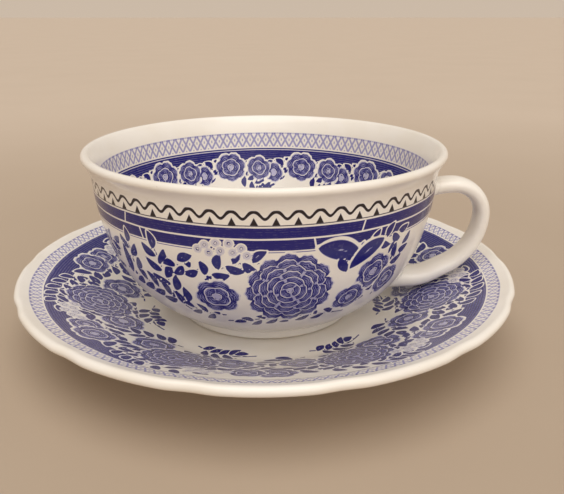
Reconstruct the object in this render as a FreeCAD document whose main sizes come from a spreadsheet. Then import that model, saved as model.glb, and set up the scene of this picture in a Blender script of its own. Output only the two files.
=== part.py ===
import FreeCAD, Part
import math
import os

import Sketcher

# A teacup with a strap handle, standing on its saucer.
#
# Frame: millimetres, +Z up, origin at the centre of the saucer's foot plane, the handle along +X.
# The cup's own pieces are drawn with the cup's foot plane at z = 0 and are raised onto the saucer's
# well by their Placement.

DIMENSIONS = (
    # cup bowl
    ("rim_radius", 53.1, "largest radius of the cup, at its lip"),
    ("cup_height", 51.4, "foot plane to the top of the lip"),
    ("lip_radius", 1.2, "half the thickness of the rounded lip"),
    ("throat_radius", 50.7, "outer radius where the lip starts to flare out"),
    ("throat_height", 44.0, "height where the lip starts to flare out"),
    ("belly_radius", 47.2, "outer radius where the wall turns in towards the foot"),
    ("belly_height", 25.0, "height where the wall turns in towards the foot"),
    ("bowl_turn_radius", 38.0, "radius of the wall's lower curve"),
    ("bowl_base_radius", 27.75, "radius of the flat underside of the bowl"),
    ("underside_height", 2.6, "height of the bowl's underside over the foot plane"),
    ("floor_height", 6.0, "height of the cup's inner floor"),
    ("inner_belly_height", 25.74, "height where the inside starts its lower curve"),
    # cup foot ring
    ("cup_foot_outer", 27.4, "outer radius of the cup's foot ring"),
    ("cup_foot_inner", 23.8, "inner radius of the cup's foot ring"),
    ("foot_round", 0.8, "rounding of the edges that a foot ring stands on"),
    # handle
    ("handle_reach", 67.2, "axis of the cup to the middle of the strap, at its outermost point"),
    ("handle_bend_height", 28.6, "height of the handle's outermost point"),
    ("handle_top_radius", 9.7, "bend over the finger gap"),
    ("handle_back_radius", 18.6, "curve down the back of the handle"),
    ("handle_tail_radius", 16.0, "curve that levels the tail before the lower root"),
    ("handle_tail_slope", 27.0, "slope of the tail, degrees under the horizontal"),
    ("handle_root_reach", 47.0, "where the strap starts, inside the wall's outer face"),
    ("handle_root_height", 36.0, "height of the strap's middle where it starts"),
    ("handle_tail_height", 7.9, "height of the tail's middle where it meets the wall"),
    ("handle_tail_reach", 26.0, "where the tail ends, inside the wall's outer face"),
    ("strap_thickness", 4.6, "thickness of the strap at its bend"),
    ("strap_width", 8.4, "width of the strap at its bend"),
    ("root_thickness", 4.8, "thickness of the strap where it starts"),
    ("root_width", 9.2, "width of the strap where it starts"),
    ("tail_thickness", 6.6, "thickness of the strap where its tail ends"),
    ("tail_width", 11.0, "width of the strap where its tail ends"),
    ("end_tilt", 0.0, "tilt of the strap's sections at its two ends, degrees from upright"),
    ("bend_tilt", 90.0, "tilt of the strap's section at the bend, degrees from upright"),
    # slip joints
    ("slip_thickness", 8.0, "height of the upper slip joint on the wall"),
    ("slip_width", 12.6, "width of the upper slip joint on the wall"),
    ("slip_reach", 49.0, "where the upper slip joint starts, inside the wall's outer face"),
    ("slip_height", 36.8, "height of the upper slip joint on the wall"),
    ("slip_end_thickness", 5.3, "height of the upper slip joint where it runs out"),
    ("slip_end_width", 9.6, "width of the upper slip joint where it runs out"),
    ("slip_end_reach", 53.4, "where the upper slip joint runs out along the strap"),
    ("slip_end_height", 37.95, "height of the strap where the upper slip joint runs out"),
    ("low_slip_thickness", 13.6, "length of the lower slip joint up the wall"),
    ("low_slip_width", 14.2, "width of the lower slip joint on the wall"),
    ("low_slip_reach", 34.5, "middle of the lower slip joint, inside the wall's outer face"),
    ("low_slip_height", 8.3, "height of the middle of the lower slip joint"),
    ("low_slip_tilt", 52.0, "tilt of the wall at the lower root, degrees from upright"),
    ("low_slip_end_thickness", 6.9, "height of the lower slip joint where it runs out"),
    ("low_slip_end_width", 10.7, "width of the lower slip joint where it runs out"),
    ("low_slip_end_reach", 43.0, "where the lower slip joint runs out along the strap"),
    # saucer plate
    ("saucer_radius", 75.0, "largest radius of the saucer, at the middle of a lobe"),
    ("plate_thickness", 2.8, "thickness of the well and the flange, measured upright"),
    ("plate_underside", 3.0, "height of the well's underside over the foot plane"),
    ("well_radius", 36.0, "radius of the flat floor of the well"),
    ("well_curve", 12.0, "radius of the curve up out of the well"),
    ("shoulder_curve", 12.0, "radius of the shoulder between the well and the flange"),
    ("shoulder_reach", 46.0, "radius on which the shoulder's curve is centred"),
    ("flange_slope", 22.5, "slope of the flange, degrees"),
    ("edge_round", 1.2, "rounding of the saucer's edge"),
    ("lobe_count", 14, "lobes round the saucer's edge"),
    ("notch_depth", 0.45, "how far each notch between two lobes cuts in"),
    ("notch_radius", 18.0, "radius of the round notch between two lobes"),
    ("notch_blend", 12.0, "radius that blends a notch into its lobes"),
    ("blank_margin", 1.0, "stock that the turned blank keeps beyond the lobes"),
    ("trim_margin", 5.0, "reach of the trimming cut beyond the lobes"),
    # saucer foot ring
    ("saucer_foot_outer", 40.6, "outer radius of the saucer's foot ring"),
    ("saucer_foot_inner", 37.2, "inner radius of the saucer's foot ring"),
    # the cup on the saucer
    ("seat_gap", 0.1, "clearance between the cup's foot ring and the well"),
)

doc = FreeCAD.newDocument("teacup")
sheet = doc.addObject("Spreadsheet::Sheet", "sheet")
for row, (alias, value, meaning) in enumerate(DIMENSIONS, start=1):
    sheet.set("A%d" % row, alias)
    sheet.set("B%d" % row, str(value))
    sheet.set("C%d" % row, meaning)
    sheet.setAlias("B%d" % row, alias)
doc.recompute()


def size(alias):
    """The number that the sheet holds under this alias."""
    return float(sheet.get(alias))


# ---------------------------------------------------------------- sketching helpers


def origin_feature(body, role):
    """One of the body's own origin planes or axes, found by its role."""
    for feature in body.Origin.OriginFeatures:
        if feature.Role == role:
            return feature
    raise ValueError("no origin feature " + role)


def new_body(name):
    body = doc.addObject("PartDesign::Body", name)
    body.Label = name
    return body


def new_sketch(body, name, plane="XZ_Plane"):
    sketch = body.newObject("Sketcher::SketchObject", name)
    sketch.AttachmentSupport = [(origin_feature(body, plane), "")]
    sketch.MapMode = "FlatFace"
    return sketch


def arc_through(start, end, radius, turn):
    """The short arc from start to end. turn is 1 for counter-clockwise, -1 for clockwise."""
    chord = math.hypot(end[0] - start[0], end[1] - start[1])
    middle = ((start[0] + end[0]) / 2, (start[1] + end[1]) / 2)
    rise = math.sqrt(max(radius ** 2 - (chord / 2) ** 2, 0.0))
    normal = (-(end[1] - start[1]) / chord, (end[0] - start[0]) / chord)
    centre = (middle[0] + turn * rise * normal[0], middle[1] + turn * rise * normal[1])
    first, last = (start, end) if turn > 0 else (end, start)
    angle_first = math.atan2(first[1] - centre[1], first[0] - centre[0])
    angle_last = math.atan2(last[1] - centre[1], last[0] - centre[0])
    circle = Part.Circle(FreeCAD.Vector(centre[0], centre[1], 0), FreeCAD.Vector(0, 0, 1), radius)
    return Part.ArcOfCircle(circle, angle_first, angle_last)


START, END, CENTRE = 1, 2, 3
AXIS = -1  # geometry index of the sketch's own horizontal axis; its start point is the origin
FLAT = 0.01  # an edge that spans less than this one way is flat or upright


class Outline:
    """A chain of lines and arcs in a sketch, with the ends of each segment kept by name."""

    def __init__(self, sketch, first_point):
        self.sketch = sketch
        self.point = first_point
        self.first = None
        self.last = None
        self.segment = {}

    def _join(self, name, index, start, end, target, smooth):
        self.segment[name] = (index, start, end)
        if self.last is not None:
            kind = "Tangent" if smooth else "Coincident"
            self.sketch.addConstraint(Sketcher.Constraint(kind, self.last[0], self.last[1], index, start))
        else:
            self.first = (index, start)
        self.last = (index, end)
        self.point = target

    def line(self, name, target, smooth=False):
        begin = FreeCAD.Vector(self.point[0], self.point[1], 0)
        finish = FreeCAD.Vector(target[0], target[1], 0)
        index = self.sketch.addGeometry(Part.LineSegment(begin, finish), False)
        self._join(name, index, START, END, target, smooth)

    def arc(self, name, target, radius, turn, smooth=False):
        index = self.sketch.addGeometry(arc_through(self.point, target, radius, turn), False)
        start, end = (START, END) if turn > 0 else (END, START)
        self._join(name, index, start, end, target, smooth)

    def close(self):
        self.sketch.addConstraint(Sketcher.Constraint("Coincident", *self.last, *self.first))

    def level(self, name):
        self.sketch.addConstraint(Sketcher.Constraint("Horizontal", self.segment[name][0]))

    def upright(self, name):
        self.sketch.addConstraint(Sketcher.Constraint("Vertical", self.segment[name][0]))

    def _point(self, name, which):
        index, start, end = self.segment[name]
        return index, {"start": start, "end": end, "centre": CENTRE}[which]

    def same_centre(self, name, other):
        self.sketch.addConstraint(
            Sketcher.Constraint("Coincident", self.segment[name][0], CENTRE, self.segment[other][0], CENTRE))

    def along(self, name, which, other, other_which, direction):
        """Line two points up: direction is Vertical or Horizontal."""
        self.sketch.addConstraint(
            Sketcher.Constraint(direction, *self._point(name, which), *self._point(other, other_which)))

    def _dimension(self, constraint, label, formula):
        number = self.sketch.addConstraint(constraint)
        self.sketch.renameConstraint(number, label)
        self.sketch.setExpression("Constraints." + label, formula)

    def across(self, name, which, label, formula):
        """Bind a point's distance from the vertical axis to the sheet."""
        index, place = self._point(name, which)
        now = self.sketch.getPoint(index, place).x
        self._dimension(Sketcher.Constraint("DistanceX", AXIS, 1, index, place, now), label, formula)

    def above(self, name, which, label, formula):
        """Bind a point's height over the horizontal axis to the sheet."""
        index, place = self._point(name, which)
        now = self.sketch.getPoint(index, place).y
        self._dimension(Sketcher.Constraint("DistanceY", AXIS, 1, index, place, now), label, formula)

    def radius(self, name, label, formula):
        index = self.segment[name][0]
        now = self.sketch.Geometry[index].Radius
        self._dimension(Sketcher.Constraint("Radius", index, now), label, formula)


def on_arc(centre, radius, degrees):
    angle = math.radians(degrees)
    return centre[0] + radius * math.cos(angle), centre[1] + radius * math.sin(angle)


def tangent_arc_radius(start, heading, end):
    """Radius of the arc that leaves start along this heading and passes through end."""
    chord = (end[0] - start[0], end[1] - start[1])
    sideways = abs(heading[0] * chord[1] - heading[1] * chord[0])
    return (chord[0] ** 2 + chord[1] ** 2) / (2 * sideways)


def arc_centre(start, end, radius, turn):
    centre = arc_through(start, end, radius, turn).Center
    return centre.x, centre.y


def heading_at(centre, point, turn):
    """Unit direction of travel at a point of a circle."""
    radius = math.hypot(point[0] - centre[0], point[1] - centre[1])
    return -turn * (point[1] - centre[1]) / radius, turn * (point[0] - centre[0]) / radius


def towards(start, end, distance):
    """The point at this distance from start, on the line to end."""
    share = distance / math.hypot(end[0] - start[0], end[1] - start[1])
    return start[0] + share * (end[0] - start[0]), start[1] + share * (end[1] - start[1])


def revolve(body, sketch, name):
    """Turn a closed outline round the body's upright axis."""
    turned = body.newObject("PartDesign::Revolution", name)
    turned.Profile = sketch
    turned.ReferenceAxis = (sketch, ["V_Axis"])
    turned.Angle = 360.0
    sketch.Visibility = False
    return turned


def raise_onto_saucer(body):
    body.setExpression("Placement.Base.z", "sheet.plate_underside + sheet.plate_thickness + sheet.seat_gap")


# ---------------------------------------------------------------- cup bowl


def wall_shape():
    """Centre and radius of the bowl's outer wall, which is tangent to its lower curve."""
    base = (size("bowl_base_radius"), size("underside_height"))
    belly = (size("belly_radius"), size("belly_height"))
    throat = (size("throat_radius"), size("throat_height"))
    turn_centre = arc_centre(base, belly, size("bowl_turn_radius"), 1)
    radius = tangent_arc_radius(belly, heading_at(turn_centre, belly, 1), throat)
    return arc_centre(belly, throat, radius, 1), radius


def outer_wall(outline):
    """The outer face of the bowl, from the edge of its underside up to where the lip flares."""
    belly = (size("belly_radius"), size("belly_height"))
    throat = (size("throat_radius"), size("throat_height"))
    outline.line("underside", (size("bowl_base_radius"), size("underside_height")))
    outline.arc("turn", belly, size("bowl_turn_radius"), 1)
    outline.arc("wall", throat, wall_shape()[1], 1, smooth=True)


def size_outer_wall(outline):
    outline.level("underside")
    outline.above("underside", "start", "underside_up", "sheet.underside_height")
    outline.across("turn", "start", "base", "sheet.bowl_base_radius")
    outline.radius("turn", "turn_radius", "sheet.bowl_turn_radius")
    outline.across("turn", "end", "belly_out", "sheet.belly_radius")
    outline.above("turn", "end", "belly_up", "sheet.belly_height")
    outline.across("wall", "end", "throat_out", "sheet.throat_radius")
    outline.above("wall", "end", "throat_up", "sheet.throat_height")


def size_lip(outline):
    outline.radius("lip", "lip_half", "sheet.lip_radius")
    outline.across("lip", "centre", "lip_out", "sheet.rim_radius - sheet.lip_radius")
    outline.above("lip", "centre", "lip_up", "sheet.cup_height - sheet.lip_radius")


def flare_shape(lip_centre):
    """Centre and radius of the hollow flare, tangent to the wall and to the round of the lip."""
    wall_centre, wall_radius = wall_shape()
    throat = (size("throat_radius"), size("throat_height"))
    outward = towards(wall_centre, throat, 1.0)
    outward = (outward[0] - wall_centre[0], outward[1] - wall_centre[1])
    gap = (throat[0] - lip_centre[0], throat[1] - lip_centre[1])
    lip = size("lip_radius")
    along = outward[0] * gap[0] + outward[1] * gap[1]
    radius = (gap[0] ** 2 + gap[1] ** 2 - lip ** 2) / (2 * (lip - along))
    return towards(wall_centre, throat, wall_radius + radius), radius


def inner_turn_shape(wall_centre, inner_belly):
    """Centre and radius of the inside's lower curve, tangent to the inner wall and to the floor."""
    inward = towards(inner_belly, wall_centre, 1.0)
    climb = inward[1] - inner_belly[1]
    radius = (inner_belly[1] - size("floor_height")) / (1 - climb)
    return towards(inner_belly, wall_centre, radius), radius


def make_cup_bowl():
    body = new_body("cup_bowl")
    sketch = new_sketch(body, "bowl_outline")
    underside = size("underside_height")
    floor = size("floor_height")
    lip = size("lip_radius")
    lip_centre = (size("rim_radius") - lip, size("cup_height") - lip)
    throat = (size("throat_radius"), size("throat_height"))
    wall_centre, wall_radius = wall_shape()
    flare_centre, flare_radius = flare_shape(lip_centre)
    inner_wall_radius = wall_radius - 2 * lip
    inner_flare_radius = flare_radius + 2 * lip
    flare_top = towards(flare_centre, lip_centre, flare_radius)
    inner_flare_top = towards(flare_centre, lip_centre, inner_flare_radius)
    inner_throat = towards(flare_centre, throat, inner_flare_radius)
    belly_rise = size("inner_belly_height") - wall_centre[1]
    belly_reach = math.sqrt(inner_wall_radius ** 2 - belly_rise ** 2)
    inner_belly = (wall_centre[0] + belly_reach, size("inner_belly_height"))
    floor_centre, floor_radius = inner_turn_shape(wall_centre, inner_belly)
    outline = Outline(sketch, (0, underside))
    outer_wall(outline)
    outline.arc("flare", flare_top, flare_radius, -1, smooth=True)
    outline.arc("lip", inner_flare_top, lip, 1, smooth=True)
    outline.arc("inner_flare", inner_throat, inner_flare_radius, 1, smooth=True)
    outline.arc("inner_wall", inner_belly, inner_wall_radius, -1, smooth=True)
    outline.arc("inner_turn", (floor_centre[0], floor), floor_radius, -1, smooth=True)
    outline.line("floor", (0, floor), smooth=True)
    outline.line("axis", (0, underside))
    outline.close()
    outline.level("floor")
    outline.upright("axis")
    outline.across("axis", "start", "axis_out", "0")
    outline.above("floor", "end", "floor_up", "sheet.floor_height")
    size_outer_wall(outline)
    size_lip(outline)
    outline.same_centre("inner_flare", "flare")
    outline.same_centre("inner_wall", "wall")
    outline.above("inner_wall", "end", "inner_belly_up", "sheet.inner_belly_height")
    revolve(body, sketch, "bowl")
    raise_onto_saucer(body)


# ---------------------------------------------------------------- foot rings


def bearing_sides(outline, inner, outer):
    """Size a foot ring's flat standing face and its upright sides."""
    outline.level("bearing")
    outline.upright("outside")
    outline.upright("inside")
    outline.above("bearing", "start", "bearing_up", "0")
    outline.across("bearing", "start", "inner_radius", inner)
    outline.across("bearing", "end", "outer_radius", outer)


def turn_foot_ring(body, sketch):
    """Revolve a foot ring and round the two edges that it stands on."""
    ring = revolve(body, sketch, body.Label + "_blank")
    doc.recompute()
    rounded = body.newObject("PartDesign::Fillet", body.Label + "_rounding")
    rounded.Base = (ring, level_circles(ring, 0.0))
    rounded.setExpression("Radius", "sheet.foot_round")


def make_cup_foot_ring():
    body = new_body("cup_foot_ring")
    sketch = new_sketch(body, "cup_ring_outline")
    inner, outer = size("cup_foot_inner"), size("cup_foot_outer")
    top = size("underside_height")
    outline = Outline(sketch, (inner, 0))
    outline.line("bearing", (outer, 0))
    outline.line("outside", (outer, top))
    outline.line("joint", (inner, top))
    outline.line("inside", (inner, 0))
    outline.close()
    outline.level("joint")
    outline.above("joint", "start", "ring_height", "sheet.underside_height")
    bearing_sides(outline, "sheet.cup_foot_inner", "sheet.cup_foot_outer")
    turn_foot_ring(body, sketch)
    raise_onto_saucer(body)


def make_saucer_foot_ring():
    """The ring's joint follows the curve of the plate's underside round the well."""
    body = new_body("saucer_foot_ring")
    sketch = new_sketch(body, "saucer_ring_outline")
    inner, outer = size("saucer_foot_inner"), size("saucer_foot_outer")
    curve = size("well_curve")
    centre_height = size("plate_underside") + curve
    inner_top = centre_height - math.sqrt(curve ** 2 - (inner - size("well_radius")) ** 2)
    outer_top = centre_height - math.sqrt(curve ** 2 - (outer - size("well_radius")) ** 2)
    outline = Outline(sketch, (inner, 0))
    outline.line("bearing", (outer, 0))
    outline.line("outside", (outer, outer_top))
    outline.arc("joint", (inner, inner_top), curve, -1)
    outline.line("inside", (inner, 0))
    outline.close()
    outline.across("joint", "centre", "curve_out", "sheet.well_radius")
    outline.above("joint", "centre", "curve_up", "sheet.plate_underside + sheet.well_curve")
    outline.radius("joint", "curve_radius", "sheet.well_curve")
    bearing_sides(outline, "sheet.saucer_foot_inner", "sheet.saucer_foot_outer")
    turn_foot_ring(body, sketch)


def level_circles(feature, height):
    """The names of a feature's edges that lie flat at this height."""
    names = []
    for number, edge in enumerate(feature.Shape.Edges, start=1):
        corners = [vertex.Point.z for vertex in edge.Vertexes]
        if all(abs(z - height) < FLAT for z in corners) and isinstance(edge.Curve, Part.Circle):
            names.append("Edge%d" % number)
    return names


# ---------------------------------------------------------------- handle


def handle_spine(body, name):
    """The middle line of the strap, from inside the wall over the finger gap to the lower root."""
    sketch = new_sketch(body, name)
    reach = size("handle_reach")
    bend = size("handle_bend_height")
    top = size("handle_top_radius")
    crown = (reach - top, bend + top)
    back = size("handle_back_radius")
    slope = size("handle_tail_slope")
    back_end = on_arc((reach - back, bend), back, slope - 90)
    levelling = size("handle_tail_radius")
    tail_height = size("handle_tail_height")
    tail_rise = levelling * (1 - math.cos(math.radians(slope)))
    tail_run = (back_end[1] - tail_height - tail_rise) / math.tan(math.radians(slope))
    tail_end = (back_end[0] - tail_run, tail_height + tail_rise)
    level_end = (tail_end[0] - levelling * math.sin(math.radians(slope)), tail_height)
    root = (size("handle_root_reach"), size("handle_root_height"))
    rise = crown[1] - root[1]
    arch_radius = ((crown[0] - root[0]) ** 2 + rise ** 2) / (2 * rise)
    outline = Outline(sketch, root)
    outline.arc("arch", crown, arch_radius, -1)
    outline.arc("top_bend", (reach, bend), top, -1, smooth=True)
    outline.arc("back", back_end, back, -1, smooth=True)
    outline.line("tail", tail_end, smooth=True)
    outline.arc("levelling", level_end, levelling, -1, smooth=True)
    outline.line("root", (size("handle_tail_reach"), tail_height), smooth=True)
    outline.across("arch", "start", "root_out", "sheet.handle_root_reach")
    outline.above("arch", "start", "root_up", "sheet.handle_root_height")
    outline.along("arch", "end", "top_bend", "centre", "Vertical")
    outline.radius("top_bend", "top_radius", "sheet.handle_top_radius")
    outline.along("top_bend", "end", "top_bend", "centre", "Horizontal")
    outline.across("top_bend", "end", "reach", "sheet.handle_reach")
    outline.above("top_bend", "end", "bend_up", "sheet.handle_bend_height")
    outline.radius("back", "back_radius", "sheet.handle_back_radius")
    outline.radius("levelling", "tail_radius", "sheet.handle_tail_radius")
    outline.level("root")
    outline.across("root", "end", "tail_out", "sheet.handle_tail_reach")
    outline.above("root", "end", "tail_up", "sheet.handle_tail_height")
    tail = outline.segment["tail"][0]
    angle = Sketcher.Constraint("Angle", AXIS, 1, tail, 2, math.radians(slope))
    number = sketch.addConstraint(angle)
    sketch.renameConstraint(number, "tail_slope")
    sketch.setExpression("Constraints.tail_slope", "sheet.handle_tail_slope * 1 deg")
    return sketch


def strap_section(body, name, reach, height, tilt, thickness, width):
    """An ellipse across the strap, each size a name in the sheet. Its width lies along Y."""
    sketch = new_sketch(body, name, "YZ_Plane")
    leaning = FreeCAD.Rotation(FreeCAD.Vector(1, 0, 0), size(tilt))
    sketch.AttachmentOffset = FreeCAD.Placement(FreeCAD.Vector(0, 0, 0), leaning)
    sketch.setExpression("AttachmentOffset.Base.y", "sheet." + height)
    sketch.setExpression("AttachmentOffset.Base.z", "sheet." + reach)
    sketch.setExpression("AttachmentOffset.Rotation.Angle", "sheet." + tilt)
    half_width = FreeCAD.Vector(size(width) / 2, 0, 0)
    half_thickness = FreeCAD.Vector(0, size(thickness) / 2, 0)
    ellipse = Part.Ellipse(half_width, half_thickness, FreeCAD.Vector(0, 0, 0))
    index = sketch.addGeometry(ellipse, False)
    sketch.exposeInternalGeometry(index)
    major, minor = index + 1, index + 2
    sketch.addConstraint(Sketcher.Constraint("Coincident", index, CENTRE, AXIS, 1))
    sketch.addConstraint(Sketcher.Constraint("Horizontal", major))
    for line, label, alias in ((major, "width", width), (minor, "thickness", thickness)):
        number = sketch.addConstraint(Sketcher.Constraint("Distance", line, size(alias)))
        sketch.renameConstraint(number, label)
        sketch.setExpression("Constraints." + label, "sheet." + alias)
    sketch.Visibility = False
    return sketch


def strap(body, kind, name):
    """The strap as a pipe feature of this kind, additive or subtractive."""
    spine = handle_spine(body, name + "_spine")
    upper = strap_section(body, name + "_start", "handle_root_reach", "handle_root_height",
                          "end_tilt", "root_thickness", "root_width")
    bend = strap_section(body, name + "_bend", "handle_reach", "handle_bend_height",
                         "bend_tilt", "strap_thickness", "strap_width")
    lower = strap_section(body, name + "_end", "handle_tail_reach", "handle_tail_height",
                          "end_tilt", "tail_thickness", "tail_width")
    doc.recompute()
    pipe = body.newObject(kind, name)
    pipe.Profile = upper
    pipe.Spine = (spine, ["Edge%d" % number for number in range(1, spine.GeometryCount + 1)])
    pipe.Sections = [(bend, [""]), (lower, [""])]
    pipe.Transformation = "Multisection"
    spine.Visibility = False


def trim_to_wall(body, name):
    """Cut away what lies inside the outer face of the bowl."""
    sketch = new_sketch(body, name + "_outline")
    outline = Outline(sketch, (0, size("underside_height")))
    outer_wall(outline)
    outline.line("cover", (0, size("throat_height")))
    outline.line("axis", (0, size("underside_height")))
    outline.close()
    outline.level("cover")
    outline.upright("axis")
    outline.across("axis", "start", "axis_out", "0")
    size_outer_wall(outline)
    groove = body.newObject("PartDesign::Groove", name)
    groove.Profile = sketch
    groove.ReferenceAxis = (sketch, ["V_Axis"])
    groove.Angle = 360.0
    sketch.Visibility = False


def make_handle():
    body = new_body("cup_handle")
    strap(body, "PartDesign::AdditivePipe", "strap")
    trim_to_wall(body, "handle_trim")
    raise_onto_saucer(body)


def make_slip_joint(name, on_wall, along_strap):
    """A collar of slip round one root of the handle, from the wall out along the strap."""
    body = new_body(name)
    wide = strap_section(body, name + "_wide", *on_wall)
    narrow = strap_section(body, name + "_narrow", *along_strap)
    doc.recompute()
    collar = body.newObject("PartDesign::AdditiveLoft", name + "_collar")
    collar.Profile = wide
    collar.Sections = [(narrow, [""])]
    doc.recompute()
    trim_to_wall(body, name + "_trim")
    doc.recompute()
    strap(body, "PartDesign::SubtractivePipe", name + "_strap")
    raise_onto_saucer(body)


def make_slip_joints():
    make_slip_joint(
        "handle_upper_slip_joint",
        ("slip_reach", "slip_height", "end_tilt", "slip_thickness", "slip_width"),
        ("slip_end_reach", "slip_end_height", "end_tilt", "slip_end_thickness", "slip_end_width"))
    make_slip_joint(
        "handle_lower_slip_joint",
        ("low_slip_reach", "low_slip_height", "low_slip_tilt", "low_slip_thickness", "low_slip_width"),
        ("low_slip_end_reach", "handle_tail_height", "end_tilt",
         "low_slip_end_thickness", "low_slip_end_width"))


# ---------------------------------------------------------------- saucer


def turned_out(point, radius, from_slope, to_slope, turn):
    """The end of an arc that leaves a point at one slope and ends at another, in degrees."""
    start = math.radians(from_slope)
    finish = math.radians(to_slope)
    across = turn * radius * (math.sin(finish) - math.sin(start))
    up = turn * radius * (math.cos(start) - math.cos(finish))
    return point[0] + across, point[1] + up


def saucer_side(outline, start, names, curves, rim_out, outward):
    """One face of the saucer from the flat of the well to the rim: curve up, shoulder, flange."""
    reach = (size("shoulder_reach") - size("well_radius")) / sum(curves)
    steep = math.degrees(math.asin(reach))
    flange = size("flange_slope")
    well_end = turned_out(start, curves[0], 0, steep, 1)
    shoulder_end = turned_out(well_end, curves[1], steep, flange, -1)
    rise = (rim_out - shoulder_end[0]) * math.tan(math.radians(flange))
    rim = (rim_out, shoulder_end[1] + rise)
    if outward:
        outline.arc(names[0], well_end, curves[0], 1, smooth=True)
        outline.arc(names[1], shoulder_end, curves[1], -1, smooth=True)
        outline.line(names[2], rim, smooth=True)
    else:
        outline.line(names[2], shoulder_end)
        outline.arc(names[1], well_end, curves[1], 1, smooth=True)
        outline.arc(names[0], start, curves[0], -1, smooth=True)
    return rim


def upright_edges(feature, beyond):
    """The names of the straight upright edges that stand further out than this radius."""
    names = []
    for number, edge in enumerate(feature.Shape.Edges, start=1):
        corner = edge.Vertexes[0].Point
        upright = edge.BoundBox.XLength < FLAT and edge.BoundBox.YLength < FLAT
        if upright and math.hypot(corner.x, corner.y) > beyond:
            names.append("Edge%d" % number)
    return names


def rim_edges(feature):
    """The names of the edges that run round the rim of the saucer, over and under."""
    within = size("saucer_radius") - 2 * size("notch_depth")
    names = []
    for number, edge in enumerate(feature.Shape.Edges, start=1):
        corners = [vertex.Point for vertex in edge.Vertexes]
        nearest = min(math.hypot(corner.x, corner.y) for corner in corners)
        if nearest > within and edge.BoundBox.ZLength < size("notch_depth"):
            names.append("Edge%d" % number)
    return names


def cut_round_edge(body):
    """Trim the blank to the radius of the lobes."""
    sketch = new_sketch(body, "lobe_circle", "XY_Plane")
    origin = FreeCAD.Vector(0, 0, 0)
    waste = size("saucer_radius") + size("trim_margin")
    for label, radius, formula in (
        ("trim_radius", size("saucer_radius"), "sheet.saucer_radius"),
        ("waste_radius", waste, "sheet.saucer_radius + sheet.trim_margin"),
    ):
        circle = sketch.addGeometry(Part.Circle(origin, FreeCAD.Vector(0, 0, 1), radius), False)
        sketch.addConstraint(Sketcher.Constraint("Coincident", circle, CENTRE, AXIS, 1))
        number = sketch.addConstraint(Sketcher.Constraint("Radius", circle, radius))
        sketch.renameConstraint(number, label)
        sketch.setExpression("Constraints." + label, formula)
    pocket_up(body, sketch, "edge_trim")


def cut_notches(body):
    """Cut one shallow round notch and repeat it round the edge."""
    sketch = new_sketch(body, "notch", "XY_Plane")
    reach = size("saucer_radius") - size("notch_depth") + size("notch_radius")
    centre = FreeCAD.Vector(reach, 0, 0)
    circle = sketch.addGeometry(Part.Circle(centre, FreeCAD.Vector(0, 0, 1), size("notch_radius")), False)
    sketch.addConstraint(Sketcher.Constraint("PointOnObject", circle, CENTRE, -1))
    for kind, label, now, formula in (
        (("Radius", circle), "notch_round", size("notch_radius"), "sheet.notch_radius"),
        (("DistanceX", AXIS, 1, circle, CENTRE), "notch_reach", reach,
         "sheet.saucer_radius - sheet.notch_depth + sheet.notch_radius"),
    ):
        number = sketch.addConstraint(Sketcher.Constraint(*kind, now))
        sketch.renameConstraint(number, label)
        sketch.setExpression("Constraints." + label, formula)
    pocket = pocket_up(body, sketch, "notch_cut")
    pattern = body.newObject("PartDesign::PolarPattern", "notches")
    pattern.Originals = [pocket]
    pattern.Axis = (sketch, ["N_Axis"])
    pattern.Angle = 360.0
    pattern.setExpression("Occurrences", "sheet.lobe_count")
    body.Tip = pattern
    return pattern


def pocket_up(body, sketch, name):
    """A pocket that cuts upwards through the whole plate."""
    pocket = body.newObject("PartDesign::Pocket", name)
    pocket.Profile = sketch
    pocket.Type = "ThroughAll"
    pocket.Reversed = True
    sketch.Visibility = False
    doc.recompute()
    return pocket


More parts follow.
